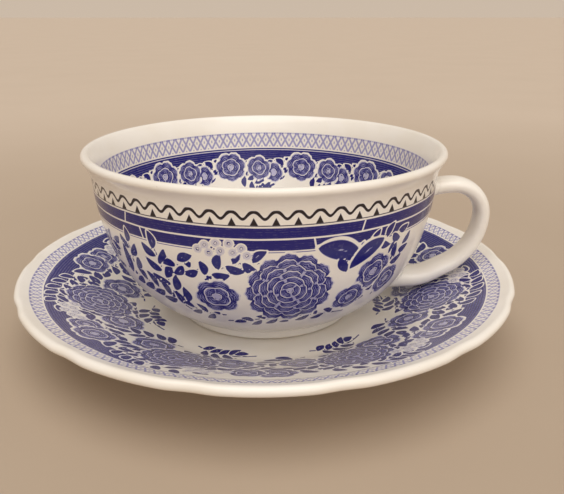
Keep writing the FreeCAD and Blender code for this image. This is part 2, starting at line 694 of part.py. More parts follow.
def make_saucer_plate():
    body = new_body("saucer_plate")
    sketch = new_sketch(body, "plate_outline")
    under = size("plate_underside")
    top = under + size("plate_thickness")
    blank = size("saucer_radius") + size("blank_margin")
    well = size("well_radius")
    curves = (size("well_curve"), size("shoulder_curve"))
    outline = Outline(sketch, (0, under))
    outline.line("underside", (well, under))
    lower_names = ("well_under", "shoulder_under", "flange_under")
    upper_names = ("well_over", "shoulder_over", "flange_over")
    rim = saucer_side(outline, (well, under), lower_names, curves, blank, True)
    outline.line("edge", (blank, rim[1] + size("plate_thickness")))
    saucer_side(outline, (well, top), upper_names, curves, blank, False)
    outline.line("floor", (0, top), smooth=True)
    outline.line("axis", (0, under))
    outline.close()
    outline.level("underside")
    outline.level("floor")
    outline.upright("axis")
    outline.upright("edge")
    outline.across("axis", "start", "axis_out", "0")
    outline.above("underside", "start", "underside_up", "sheet.plate_underside")
    outline.above("floor", "end", "floor_up", "sheet.plate_underside + sheet.plate_thickness")
    outline.across("underside", "end", "well_under_out", "sheet.well_radius")
    outline.across("floor", "start", "well_over_out", "sheet.well_radius")
    outline.across("edge", "start", "blank_out", "sheet.saucer_radius + sheet.blank_margin")
    for face in ("under", "over"):
        outline.radius("well_" + face, "well_curve_" + face, "sheet.well_curve")
        outline.radius("shoulder_" + face, "shoulder_curve_" + face, "sheet.shoulder_curve")
        outline.across("shoulder_" + face, "centre", "shoulder_" + face + "_out", "sheet.shoulder_reach")
    lower, upper = outline.segment["flange_under"][0], outline.segment["flange_over"][0]
    sketch.addConstraint(Sketcher.Constraint("Parallel", lower, upper))
    number = sketch.addConstraint(Sketcher.Constraint("Angle", lower, math.radians(size("flange_slope"))))
    sketch.renameConstraint(number, "flange_slope")
    sketch.setExpression("Constraints.flange_slope", "sheet.flange_slope * 1 deg")
    revolve(body, sketch, "plate_blank")
    doc.recompute()
    cut_round_edge(body)
    notches = cut_notches(body)
    doc.recompute()
    smoothed = body.newObject("PartDesign::Fillet", "notch_blending")
    smoothed.Base = (notches, upright_edges(notches, size("saucer_radius") - size("notch_depth")))
    smoothed.setExpression("Radius", "sheet.notch_blend")
    doc.recompute()
    rounded = body.newObject("PartDesign::Fillet", "edge_rounding")
    rounded.Base = (smoothed, rim_edges(smoothed))
    rounded.setExpression("Radius", "sheet.edge_round")
    doc.recompute()


# ---------------------------------------------------------------- the whole object

PIECES = (
    "cup_bowl",
    "cup_foot_ring",
    "cup_handle",
    "handle_upper_slip_joint",
    "handle_lower_slip_joint",
    "saucer_plate",
    "saucer_foot_ring",
)

make_cup_bowl()
make_cup_foot_ring()
make_handle()
make_slip_joints()
make_saucer_plate()
make_saucer_foot_ring()
doc.recompute()

for item in doc.Objects:
    if "Invalid" in item.State or "Error" in item.State:
        raise RuntimeError("failed: %s %s" % (item.Label, item.State))

for piece in PIECES:
    shape = doc.getObject(piece).Shape
    if shape.isNull() or not shape.isValid() or len(shape.Solids) != 1:
        raise RuntimeError("not one sound solid: " + piece)

os.makedirs("parts", exist_ok=True)
for piece in PIECES:
    shape = doc.getObject(piece).Shape
    shape.exportStep("parts/%s.step" % piece)
    print("%-26s %9.1f mm3" % (piece, shape.Volume))
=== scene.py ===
import math

import bpy
import numpy as np
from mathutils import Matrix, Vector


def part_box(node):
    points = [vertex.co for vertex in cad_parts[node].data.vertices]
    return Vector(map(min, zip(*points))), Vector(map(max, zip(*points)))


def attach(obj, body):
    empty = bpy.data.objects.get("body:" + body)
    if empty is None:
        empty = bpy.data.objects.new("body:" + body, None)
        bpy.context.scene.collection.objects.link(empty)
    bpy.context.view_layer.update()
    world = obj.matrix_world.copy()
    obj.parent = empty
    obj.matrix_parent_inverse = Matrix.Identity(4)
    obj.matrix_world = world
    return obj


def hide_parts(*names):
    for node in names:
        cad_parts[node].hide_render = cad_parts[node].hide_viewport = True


# A blue and white teacup on its saucer. Lengths are millimetres until a mesh is made, and angles are
# degrees unless a name says turn. The origin is the centre of the saucer's foot plane, +Z is up and the
# handle points along +X, so the front is at -Y.

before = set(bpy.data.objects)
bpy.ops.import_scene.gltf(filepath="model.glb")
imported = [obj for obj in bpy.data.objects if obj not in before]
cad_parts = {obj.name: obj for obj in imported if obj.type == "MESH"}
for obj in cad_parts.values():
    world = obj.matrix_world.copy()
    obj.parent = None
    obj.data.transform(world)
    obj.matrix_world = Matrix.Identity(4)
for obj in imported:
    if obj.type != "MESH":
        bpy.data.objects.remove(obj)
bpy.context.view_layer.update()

MM = 0.001
TURN = 2 * math.pi


def node_size(node):
    """Outer reach along +X, lowest and highest z of a CAD node, in millimetres."""
    low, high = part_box(node)
    return high.x / MM, low.z / MM, high.z / MM


# ---------------------------------------------------------------- sizes

RIM, BOWL_LOW, RIM_TOP = node_size("cup_bowl")
CUP_FOOT_OUT, CUP_FOOT, _ = node_size("cup_foot_ring")
SAUCER_FOOT_OUT, SAUCER_FOOT, SAUCER_FOOT_TOP = node_size("saucer_foot_ring")
HANDLE_OUT = node_size("cup_handle")[0]
SAUCER_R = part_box("saucer_plate")[1].y / MM
PLATE_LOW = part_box("saucer_plate")[0].z / MM

# The cup. LIP is the radius of its rounded rim, and the wall is twice as thick.
LIP = 1.2
THICK = 2 * LIP
LIP_CENTRE = (RIM - LIP, RIM_TOP - LIP)
BASE = (27.75, BOWL_LOW)
BELLY = (47.2, CUP_FOOT + 25.0)
THROAT = (50.7, CUP_FOOT + 44.0)
BOWL_TURN = 38.0
INNER_FLOOR = CUP_FOOT + 6.0
INNER_BELLY = CUP_FOOT + 25.74
CUP_FOOT_IN = 23.8
COVE = 1.9
COVE_REACH = 1.5
PRINT_FROM = -50
LIP_TOP = 50

# The saucer. EDGE_ROUND sets where each face ends; saucer_edge then rounds right across between them.
PLATE = 2.8
WELL = 36.0
WELL_CURVE = 12.0
SHOULDER_REACH = 46.0
FLANGE_SLOPE = 22.5
EDGE_ROUND = 1.3
LOBES = 14
NOTCH = 0.45
NOTCH_HALF_WIDTH = 7.0
NOTCH_FADE = 16.0
SAUCER_FOOT_IN = 37.2

# ---------------------------------------------------------------- outlines


def arc(centre, radius, start, end, step):
    """Points of an arc from one angle to another, in degrees, about a step apart."""
    count = max(2, math.ceil(abs(math.radians(end - start)) * radius / step))
    angles = np.radians(np.linspace(start, end, count + 1))
    return [(centre[0] + radius * math.cos(a), centre[1] + radius * math.sin(a)) for a in angles]


def line(start, end, step):
    count = max(1, math.ceil(math.dist(start, end) / step))
    shares = np.linspace(0, 1, count + 1)
    return [(start[0] + t * (end[0] - start[0]), start[1] + t * (end[1] - start[1])) for t in shares]


def chain(*runs):
    """Runs of points joined end to end, with each shared point kept once."""
    points = list(runs[0])
    for run in runs[1:]:
        points += run[1:] if math.dist(points[-1], run[0]) < 1e-4 else run
    return points


def closed(*runs):
    """Runs joined into a loop. The last point is the first one again, so it is left out."""
    return chain(*runs)[:-1]


def angle_of(centre, point):
    return math.degrees(math.atan2(point[1] - centre[1], point[0] - centre[0]))


def towards(start, end, distance):
    share = distance / math.dist(start, end)
    return start[0] + share * (end[0] - start[0]), start[1] + share * (end[1] - start[1])


def arc_centre(start, end, radius):
    """Centre of the counter-clockwise arc from start to end."""
    half = math.dist(start, end) / 2
    rise = math.sqrt(radius ** 2 - half ** 2) / (2 * half)
    return ((start[0] + end[0]) / 2 - rise * (end[1] - start[1]),
            (start[1] + end[1]) / 2 + rise * (end[0] - start[0]))


TURN_CENTRE = arc_centre(BASE, BELLY, BOWL_TURN)


def wall_arc():
    """Centre and radius of the upper wall, tangent to the bowl's lower curve."""
    heading = ((TURN_CENTRE[1] - BELLY[1]) / BOWL_TURN, (BELLY[0] - TURN_CENTRE[0]) / BOWL_TURN)
    chord = (THROAT[0] - BELLY[0], THROAT[1] - BELLY[1])
    sideways = abs(heading[0] * chord[1] - heading[1] * chord[0])
    radius = math.dist(BELLY, THROAT) ** 2 / (2 * sideways)
    return towards(BELLY, TURN_CENTRE, radius), radius


WALL_CENTRE, WALL_RADIUS = wall_arc()


def flare_arc():
    """Centre and radius of the hollow flare, tangent to the wall and to the round of the lip."""
    out = ((THROAT[0] - WALL_CENTRE[0]) / WALL_RADIUS, (THROAT[1] - WALL_CENTRE[1]) / WALL_RADIUS)
    gap = (THROAT[0] - LIP_CENTRE[0], THROAT[1] - LIP_CENTRE[1])
    along = out[0] * gap[0] + out[1] * gap[1]
    radius = (gap[0] ** 2 + gap[1] ** 2 - LIP ** 2) / (2 * (LIP - along))
    return towards(WALL_CENTRE, THROAT, WALL_RADIUS + radius), radius


FLARE_CENTRE, FLARE_RADIUS = flare_arc()
INNER_WALL = WALL_RADIUS - THICK
INNER_BELLY_POINT = (WALL_CENTRE[0] + math.sqrt(INNER_WALL ** 2 - (INNER_BELLY - WALL_CENTRE[1]) ** 2),
                     INNER_BELLY)


def inner_turn_arc():
    """Centre and radius of the inside's lower curve, tangent to the inner wall and to the floor."""
    climb = (WALL_CENTRE[1] - INNER_BELLY) / INNER_WALL
    radius = (INNER_BELLY - INNER_FLOOR) / (1 - climb)
    return towards(INNER_BELLY_POINT, WALL_CENTRE, radius), radius


INNER_TURN_CENTRE, INNER_TURN = inner_turn_arc()


def bowl_outside(fine):
    """The bowl's outer face from the middle of its underside up to the outermost point of the lip."""
    cove_start = BASE[0] - COVE_REACH
    cove = arc((cove_start, BASE[1] + COVE), COVE, -90, -64, 0.5)
    return chain(
        line((0, BASE[1]), (cove_start, BASE[1]), 3.0),
        cove[:-1],
        arc(TURN_CENTRE, BOWL_TURN, angle_of(TURN_CENTRE, BASE) + 1.2, PRINT_FROM, 1.2),
        arc(TURN_CENTRE, BOWL_TURN, PRINT_FROM, angle_of(TURN_CENTRE, BELLY), fine),
        arc(WALL_CENTRE, WALL_RADIUS, angle_of(WALL_CENTRE, BELLY),
            angle_of(WALL_CENTRE, THROAT), fine),
        arc(FLARE_CENTRE, FLARE_RADIUS, angle_of(FLARE_CENTRE, THROAT),
            angle_of(FLARE_CENTRE, LIP_CENTRE), fine),
        arc(LIP_CENTRE, LIP, angle_of(LIP_CENTRE, FLARE_CENTRE), LIP_TOP, 0.35),
    )


def bowl_inside(fine):
    """The bowl's inner face from the lip down to the middle of its floor."""
    flare_end = angle_of(FLARE_CENTRE, LIP_CENTRE)
    return chain(
        arc(LIP_CENTRE, LIP, LIP_TOP, flare_end, 0.35),
        arc(FLARE_CENTRE, FLARE_RADIUS + THICK, flare_end, angle_of(FLARE_CENTRE, THROAT), 0.8),
        arc(WALL_CENTRE, INNER_WALL, angle_of(WALL_CENTRE, THROAT),
            angle_of(WALL_CENTRE, INNER_BELLY_POINT), fine),
        arc(INNER_TURN_CENTRE, INNER_TURN, angle_of(INNER_TURN_CENTRE, INNER_BELLY_POINT), -90, 1.8),
        line((INNER_TURN_CENTRE[0], INNER_FLOOR), (0, INNER_FLOOR), 3.0),
    )


# ---------------------------------------------------------------- meshes


def make_piece(name, points, faces, fields=None):
    """A smooth mesh object from points in millimetres, with a number per point for each field."""
    mesh = bpy.data.meshes.new(name)
    mesh.from_pydata([tuple(MM * c for c in point) for point in points], [], faces)
    for label, values in (fields or {}).items():
        layer = mesh.attributes.new(label, "FLOAT", "POINT")
        layer.data.foreach_set("value", np.asarray(values, np.float32))
    mesh.polygons.foreach_set("use_smooth", [True] * len(mesh.polygons))
    mesh.update()
    piece = bpy.data.objects.new(name, mesh)
    bpy.context.scene.collection.objects.link(piece)
    return piece


def grid_faces(rows, columns):
    """Quads of a grid that closes on itself across its columns."""
    row, column = np.meshgrid(np.arange(rows - 1), np.arange(columns), indexing="ij")
    right = (column + 1) % columns
    a = row * columns + column
    b = row * columns + right
    quads = np.stack([a, b, b + columns, a + columns], -1)
    return quads.reshape(-1, 4).tolist()


def closing_faces(rings, columns):
    """Quads that join the last ring back to the first."""
    last = (rings - 1) * columns
    return [[last + c, last + (c + 1) % columns, (c + 1) % columns, c] for c in range(columns)]


def turned(outline, columns, reach=None):
    """Points and faces of an outline turned round the upright axis. Ends on the axis become one point.

    reach, if given, is a function of (radius, angle) that moves a point in or out."""
    outline = np.array(outline)
    angles = np.arange(columns) * TURN / columns
    starts = outline[0, 0] < 1e-6
    ends = outline[-1, 0] < 1e-6
    rings = outline[(1 if starts else 0):(len(outline) - 1 if ends else len(outline))]
    radius = np.repeat(rings[:, :1], columns, axis=1)
    height = np.repeat(rings[:, 1:], columns, axis=1)
    angle = np.repeat(angles[None, :], len(rings), axis=0)
    if reach is not None:
        radius = reach(radius, angle)
    points = np.stack([radius * np.cos(angle), radius * np.sin(angle), height], -1).reshape(-1, 3)
    faces = grid_faces(len(rings), columns)
    if starts:
        points = np.vstack([points, [[0, 0, outline[0, 1]]]])
        faces += [[len(points) - 1, (c + 1) % columns, c] for c in range(columns)]
    if ends:
        points = np.vstack([points, [[0, 0, outline[-1, 1]]]])
        last = (len(rings) - 1) * columns
        faces += [[len(points) - 1, last + c, last + (c + 1) % columns] for c in range(columns)]
    if not starts and not ends:
        faces += closing_faces(len(rings), columns)
    return points, faces


# ---------------------------------------------------------------- drawing the printed flowers


class PrintedSheet:
    """The flowers printed on one surface, held as smooth fields over its points.

    motif: how deep a point lies in a flower or leaf. Its outline is at 0, each further ring of petals
    is at the next whole number, and open ground is negative. tone: how much ink fills the motif.
    stem: distance to either side of the nearest stem, and near: how close that stem is.
    A place on the sheet is (across, drop): millimetres round from the front and down from the rim.
    Each drawing call starts with its place and, but for berries and bloom, its tilt and its length."""

    OPEN = -3.0
    HALO = 0.35
    STEEP = 4.0
    FAR = 1.1
    LEAF_TONE = 0.95

    def __init__(self, points, drop, middle_radius):
        self.radius = np.hypot(points[:, 0], points[:, 1])
        self.angle = np.arctan2(points[:, 0], -points[:, 1])
        self.drop = drop
        self.middle_radius = middle_radius
        self.motif = np.full(len(points), self.OPEN)
        self.tone = np.zeros(len(points))
        self.stem_side = np.full(len(points), self.FAR)
        self.near = np.zeros(len(points))
        self.shift = 0.0

    def local(self, across, drop, tilt, size):
        """Points near a place, and their coordinates there with x turned up by tilt degrees."""
        across = across + self.shift
        away = (self.angle - across / self.middle_radius + math.pi) % TURN - math.pi
        x = away * self.radius
        y = drop - self.drop
        close = np.nonzero((np.abs(x) < size) & (np.abs(y) < size))[0]
        x, y = x[close], y[close]
        c, s = math.cos(math.radians(tilt)), math.sin(math.radians(tilt))
        return close, c * x + s * y, c * y - s * x

    def lay(self, close, motif, tone):
        """Put a motif over what is there, with a clear margin all round it."""
        below = np.minimum(self.motif[close], self.STEEP * (-motif - self.HALO))
        self.tone[close] = np.where(motif > below, tone, self.tone[close])
        self.motif[close] = np.maximum(motif, below)
        self.near[close] = np.where(motif > -self.HALO, 0.0, self.near[close])

    def leaf(self, across, drop, tilt, length, width, bend=0.0):
        close, x, y = self.local(across, drop, tilt, length + 2)
        share = np.clip(x / length, 0, 1)
        half = width / 2 * np.sin(math.pi * share ** 0.85) ** 0.8
        side = np.abs(y - bend * np.sin(math.pi * share))
        beyond = np.maximum(-x, x - length)
        depth = np.where(beyond > 0, -np.hypot(beyond, side), half - side)
        self.lay(close, depth / (width / 2), self.LEAF_TONE)

    def stem(self, across, drop, tilt, length, bend):
        close, x, y = self.local(across, drop, tilt, length + 2)
        share = x / length
        side = np.clip(y - bend * np.sin(math.pi * np.clip(share, 0, 1)), -self.FAR, self.FAR)
        beyond = np.maximum(np.maximum(-x, x - length), 0)
        near = np.clip(1 - (np.abs(side) + beyond) / self.FAR, 0, 1)
        near = np.where(self.motif[close] > -self.HALO, 0.0, near)
        takes = near > self.near[close]
        self.stem_side[close] = np.where(takes, side, self.stem_side[close])
        self.near[close] = np.where(takes, near, self.near[close])

    def sprig(self, across, drop, tilt, length, bend, leaves, leaf, width, spread=42.0):
        """A curved stem with leaves to both sides of it and one at its tip."""
        c, s = math.cos(math.radians(tilt)), math.sin(math.radians(tilt))
        for number in range(leaves + 1):
            share = 0.14 + 0.86 * number / leaves
            x = share * length
            y = bend * math.sin(math.pi * share)
            slope = math.degrees(math.atan2(bend * math.pi * math.cos(math.pi * share), length))
            side = 0 if number == leaves else (spread if number % 2 else -spread)
            place = (across + c * x - s * y, drop - s * x - c * y)
            reach = leaf * (1 - 0.35 * abs(share - 0.5))
            self.leaf(*place, tilt + slope + side, reach, width, 0.1 * leaf * (1 if side > 0 else -1))
        self.stem(across, drop, tilt, length, bend)

    def bloom(self, across, drop, size, petals, rings, tilt=0.0, squeeze=1.0, tone=0.8, ruffle=0.10):
        """A many-petalled flower: rings of rounded petals, one inside the other."""
        close, x, y = self.local(across, drop, tilt, 1.4 * size + 2)
        y = y / squeeze
        out = np.hypot(x, y)
        turn = np.arctan2(y, x)
        edges = []
        fronts = []
        for ring in range(rings + 1):
            count = max(3, petals - 2 * ring)
            petal = np.abs(np.cos(count * (turn + 0.9 * ring) / 2)) ** 0.6
            frill = 0.018 * np.cos(3 * count * turn + ring)
            edges.append(size * (1 - ring / (rings + 0.55)) * (1 + ruffle * (petal - 0.7) + frill))
            fronts.append(petal ** 2)
        depth = (edges[0] - out) * 0.8
        shade = np.full(len(out), tone)
        for ring in range(rings):
            width = np.maximum(edges[ring] - edges[ring + 1], 0.2)
            inward = np.clip((edges[ring] - out) / width, 0, 1)
            depth = np.where(out < edges[ring], ring + inward, depth)
            shade = np.where(out < edges[ring], tone * (1 - 0.25 * fronts[ring]), shade)
        heart = rings + (edges[rings] - out) / edges[rings] * (1 + 0.6 * np.cos(5 * turn))
        depth = np.where(out < edges[rings], heart, depth)
        self.lay(close, depth, np.where(out < edges[rings], tone, shade))

    def berries(self, across, drop, places, size=1.15):
        for x, y in places:
            close, px, py = self.local(across + x, drop + y, 0, 4)
            self.lay(close, (size - np.hypot(px, py)) / 0.75, 0.25)

    def fields(self):
        return {"motif": self.motif, "tone": self.tone, "stem": self.stem_side, "near": self.near}


BERRY_ROW = [(-6.0, 0.6), (-4.2, -0.7), (-3.4, 1.3), (-1.6, -1.4), (-0.6, 0.6), (1.4, -1.5),
             (2.2, 0.9), (4.2, -0.3), (5.4, 1.6)]


def cup_spray(sheet):
    """The main spray: a large bloom with a small rose, berries, sprigs and a second cluster."""
    sheet.sprig(-20.5, 34.5, 114, 19, 1.6, 8, 6.2, 2.6)
    sheet.sprig(-22.5, 35.5, 154, 18, -1.6, 8, 5.6, 2.4)
    sheet.sprig(-13.5, 23.0, 164, 9, -1.0, 4, 5.0, 2.3)
    sheet.sprig(-14.5, 23.5, 22, 15, 2.2, 6, 5.4, 2.4)
    sheet.sprig(-12.0, 35.5, 172, 9, 0.8, 4, 4.0, 1.8)
    sheet.sprig(-36.5, 26.5, 98, 9, 0.6, 4, 5.4, 2.4)
    sheet.leaf(-41.5, 28.0, 84, 9.5, 3.2, -0.6)
    sheet.leaf(-21.5, 19.0, 24, 5.0, 2.6, 0.3)
    sheet.berries(-9.5, 14.3, BERRY_ROW)
    sheet.bloom(-12.6, 28.8, 5.8, 6, 2, 12, 0.9, 0.95, 0.24)
    sheet.sprig(24.0, 37.0, 182, 30, -1.6, 11, 4.2, 1.7, 30)
    sheet.sprig(22.5, 33.5, 52, 17, -2.0, 7, 5.4, 2.3)
    sheet.sprig(19.0, 22.0, 26, 18, 1.5, 7, 5.0, 2.2)
    sheet.sprig(33.0, 33.0, 70, 15, 1.5, 7, 5.2, 2.2)
    sheet.leaf(12.0, 14.5, -20, 14.0, 5.4, 0.8)
    sheet.leaf(30.0, 15.0, 215, 12.0, 4.6, -0.8)
    sheet.bloom(29.0, 24.5, 5.6, 6, 2, 30, 0.9, 0.95, 0.24)
    sheet.bloom(23.5, 31.5, 4.6, 5, 2, 0, 0.9, 0.95, 0.25)
    sheet.bloom(36.0, 29.0, 4.4, 5, 2, 50, 1.0, 0.95, 0.25)
    sheet.leaf(17.5, 18.5, -55, 5.0, 2.6)
    sheet.bloom(6.0, 26.2, 10.8, 12, 6, 5, 0.97, 0.97, 0.17)


def cup_side_spray(sheet):
    """The smaller spray on the side away from the handle."""
    sheet.sprig(-5.0, 34.0, 62, 18, 2.5, 9, 6.2, 2.4)
    sheet.sprig(5.0, 34.0, 118, 18, -2.5, 9, 6.2, 2.4)
    sheet.sprig(1.0, 35.0, 15, 14, 1.5, 7, 5.0, 2.0)
    sheet.sprig(-1.0, 35.0, 165, 14, -1.5, 7, 5.0, 2.0)
    sheet.sprig(-12.0, 33.0, 150, 17, 2.0, 8, 5.6, 2.3)
    sheet.sprig(12.0, 33.0, 30, 17, -2.0, 8, 5.6, 2.3)
    sheet.sprig(-9.0, 22.0, 172, 20, 2.0, 9, 5.2, 2.2)
    sheet.sprig(9.0, 22.0, 8, 20, -2.0, 9, 5.2, 2.2)
    sheet.bloom(-15.0, 26.5, 4.8, 6, 2, 40, 0.95, 0.95, 0.22)
    sheet.bloom(15.0, 26.5, 4.8, 6, 2, 10, 0.95, 0.95, 0.22)
    sheet.bloom(0.0, 25.0, 7.8, 9, 4, 15, 1.0, 0.95, 0.2)
    sheet.berries(-1.0, 14.6, BERRY_ROW[2:7])


def well_spray(sheet):
    """Flowers hung from the band inside the cup."""
    sheet.sprig(-12.0, 19.5, 5, 24, 1.6, 12, 4.6, 2.1)
    sheet.sprig(-3.0, 18.0, 215, 11, 1.2, 6, 4.4, 2.0)
    sheet.sprig(5.0, 18.0, -38, 12, 1.2, 6, 4.4, 2.0)
    sheet.bloom(0.0, 17.0, 5.6, 7, 2, 10, 0.9, 0.95, 0.2)
    sheet.bloom(10.5, 19.2, 3.8, 5, 1, 40, 0.9, 0.95, 0.24)
    sheet.bloom(-10.5, 17.6, 4.4, 6, 2, 40, 0.9, 0.95, 0.24)


def saucer_spray(sheet):
    """A part of the saucer's border: a large bloom, roses and the sprigs between them."""
    sheet.sprig(-23.0, 22.0, 8, 18, 3.0, 8, 6.2, 2.8)
    sheet.sprig(-9.0, 35.5, 152, 17, 2.0, 8, 5.8, 2.6)
    sheet.sprig(14.0, 36.0, 160, 17, -2.0, 8, 5.6, 2.5)
    sheet.sprig(28.0, 22.0, 172, 16, 2.0, 7, 5.8, 2.6)
    sheet.sprig(-14.0, 16.5, 12, 26, 1.5, 11, 5.0, 2.4)
    sheet.sprig(10.0, 18.5, -8, 17, -1.5, 7, 5.4, 2.5)
    sheet.sprig(-4.0, 39.0, 2, 17, 1.5, 7, 4.8, 2.2)
    sheet.bloom(15.5, 28.0, 6.4, 6, 2, 20, 0.95, 0.95, 0.22)
    sheet.bloom(-12.5, 28.0, 6.0, 6, 2, 50, 0.95, 0.95, 0.22)
    sheet.bloom(-21.0, 15.5, 5.4, 6, 2, 0, 0.95, 0.95, 0.22)
    sheet.bloom(22.0, 16.0, 4.6, 6, 2, 0, 0.95, 0.95, 0.22)
    sheet.bloom(2.0, 23.0, 9.8, 11, 5, 0, 0.95, 0.97, 0.16)
    sheet.berries(12.0, 14.5, BERRY_ROW[2:], 1.4)


# ---------------------------------------------------------------- node formulas


class Value:
    """A number in a material, so that a pattern can be written as a formula."""

    def __init__(self, nodes, socket):
        self.nodes = nodes
        self.socket = socket

    def math(self, kind, *others, clamp=False):
        node = self.nodes.new("ShaderNodeMath")
        node.operation = kind
        node.use_clamp = clamp
        for place, value in enumerate((self,) + others):
            if isinstance(value, Value):
                value.nodes.id_data.links.new(value.socket, node.inputs[place])
            else:
                node.inputs[place].default_value = value
        return Value(self.nodes, node.outputs[0])

    def __add__(self, other):
        return self.math("ADD", other)

    def __sub__(self, other):
        return self.math("SUBTRACT", other)

    def __mul__(self, other):
        return self.math("MULTIPLY", other)

    def __truediv__(self, other):
        return self.math("DIVIDE", other)

    def less_from(self, number):
        """number minus this value."""
        return self * -1.0 + number

    def size(self):
        return self.math("ABSOLUTE")

    def fract(self):
        return self.math("FRACT")

    def least(self, other):
        return self.math("MINIMUM", other)

    def most(self, other):
        return self.math("MAXIMUM", other)

    def ramp(self, low, high):
        """0 at low and 1 at high, smooth between them. low may be the larger."""
        node = self.nodes.new("ShaderNodeMapRange")
        node.interpolation_type = "SMOOTHSTEP"
        values = (low, high, 0.0, 1.0)
        if low > high:
            values = (high, low, 1.0, 0.0)
        for place, number in enumerate(values, start=1):
            node.inputs[place].default_value = number
        self.nodes.id_data.links.new(self.socket, node.inputs[0])
        return Value(self.nodes, node.outputs[0])

    def inside(self, low, high, soft):
        """1 between low and high, 0 outside, with soft edges."""
        return self.ramp(low - soft, low + soft) * self.ramp(high + soft, high - soft)

    def over(self, other):
        """Ink laid over ink: 1 where either is 1."""
        return self.most(other)


class Finish:
    """A material with its shader and the helpers that patterns are built from."""

    def __init__(self, name):
        self.material = bpy.data.materials.new(name)
        self.material.use_nodes = True
        self.tree = self.material.node_tree
        self.nodes = self.tree.nodes
        self.shader = self.nodes["Principled BSDF"]
        place = self.nodes.new("ShaderNodeTexCoord")
        self.place = place.outputs["Object"]

    def field(self, name):
        node = self.nodes.new("ShaderNodeAttribute")
        node.attribute_name = name
        return Value(self.nodes, node.outputs["Fac"])

    def coordinates(self):
        node = self.nodes.new("ShaderNodeSeparateXYZ")
        self.tree.links.new(self.place, node.inputs[0])
        return [Value(self.nodes, output) * (1 / MM) for output in node.outputs]

    def noise(self, size, detail=2.0, roughness=0.5):
        """Noise with features of about this size in millimetres."""
        node = self.nodes.new("ShaderNodeTexNoise")
        node.inputs["Scale"].default_value = 1 / (size * MM)
        node.inputs["Detail"].default_value = detail
        node.inputs["Roughness"].default_value = roughness
        self.tree.links.new(self.place, node.inputs["Vector"])
        return Value(self.nodes, node.outputs["Fac"])

    def mix(self, share, first, second):
        """A colour between two colours; each is a colour or a socket."""
        node = self.nodes.new("ShaderNodeMix")
        node.data_type = "RGBA"
        self.tree.links.new(share.socket, node.inputs[0])
        for place, colour in ((6, first), (7, second)):
            if isinstance(colour, tuple):
                node.inputs[place].default_value = colour + (1.0,)
            else:
                self.tree.links.new(colour, node.inputs[place])
        return node.outputs[2]

    def set_colour(self, colour):
        self.tree.links.new(colour, self.shader.inputs["Base Color"])

    def set_roughness(self, value):
        self.tree.links.new(value.socket, self.shader.inputs["Roughness"])

    def bump(self, height, distance, strength=1.0):
        node = self.nodes.new("ShaderNodeBump")
        node.inputs["Distance"].default_value = distance * MM
        node.inputs["Strength"].default_value = strength
        self.tree.links.new(height.socket, node.inputs["Height"])
        self.tree.links.new(node.outputs[0], self.shader.inputs["Normal"])


CREAM = (0.86, 0.82, 0.76)
CREAM_WARM = (0.83, 0.78, 0.70)
SPECK = (0.42, 0.34, 0.25)
INK_DEEP = (0.005, 0.004, 0.150)
INK_WASH = (0.026, 0.036, 0.44)
INK_DARK = (0.012, 0.008, 0.012)


def glaze(finish):
    """Cream glaze: colour that varies a little, rare specks, and a faint ripple in the gloss."""
    cloud = finish.noise(14.0, 3.0)
    body = finish.mix(cloud.ramp(0.35, 0.75), CREAM, CREAM_WARM)
    speck = finish.noise(0.55, 1.0).ramp(0.78, 0.84)
    colour = finish.mix(speck * 0.35, body, SPECK)
    finish.shader.inputs["IOR"].default_value = 1.5
    finish.shader.inputs["Coat Weight"].default_value = 0.2
    finish.shader.inputs["Coat Roughness"].default_value = 0.06
    finish.set_roughness(finish.noise(5.0, 2.0) * 0.10 + 0.16)
    ripple = finish.noise(9.0, 2.0) + finish.noise(1.1, 1.0) * 0.10
    finish.bump(ripple, 0.16, 0.5)
    return colour


def printed(finish, colour, ink, darkness, edge=None):
    """Print over the glaze colour: ink is how much, darkness how near to the deepest tone."""
    shade = finish.mix(darkness, INK_WASH, INK_DEEP)
    if edge is not None:
        shade = finish.mix(edge, shade, INK_DARK)
    patch = finish.noise(1.3, 3.0, 0.6) * 0.30 + 0.90
    finish.set_colour(finish.mix((ink * patch).least(1.0), colour, shade))


def flower_ink(finish):
    """Ink of the drawn flowers and leaves: outlines, light petal edges and shaded petals."""
    motif = finish.field("motif")
    tone = finish.field("tone")
    ring = motif.fract()
    outline = ring.less_from(1.0).ramp(0.22, 0.10)
    petal = ring.ramp(0.08, 0.22) * 0.82 + 0.18
    hatch = (motif * 4.0 + finish.noise(1.0, 2.0) * 2.0).fract().inside(0.25, 0.75, 0.2)
    body = (tone * petal * (hatch * 0.35 + 0.95)).least(1.0)
    solid = tone.ramp(0.91, 0.94)
    vein = (motif - 0.86).ramp(0.0, 0.1)
    leaf = (vein * -0.5 + 1.0) * 0.97
    fill = body.most(outline) * solid.less_from(1.0) + leaf * solid
    covered = motif.ramp(-0.06, 0.06)
    stem = finish.field("stem").size().ramp(0.30, 0.18) * finish.field("near").ramp(0.35, 0.5)
    clear = motif.ramp(-0.42, -0.30).less_from(1.0)
    return (fill * covered).over(stem * covered.less_from(1.0)), clear


def fine_lines(finish, depth, pitch):
    """The engraver's lines along a band, a little uneven."""
    wobble = finish.noise(3.0, 2.0) * 0.35
    return ((depth + wobble) * (1 / pitch)).fract().inside(0.3, 0.95, 0.15)


def band(finish, depth, low, high, pitch=0.62, light=0.72):
    """A dark band of close engraved lines."""
    return depth.inside(low, high, 0.09) * (fine_lines(finish, depth, pitch) * (1 - light) + light)


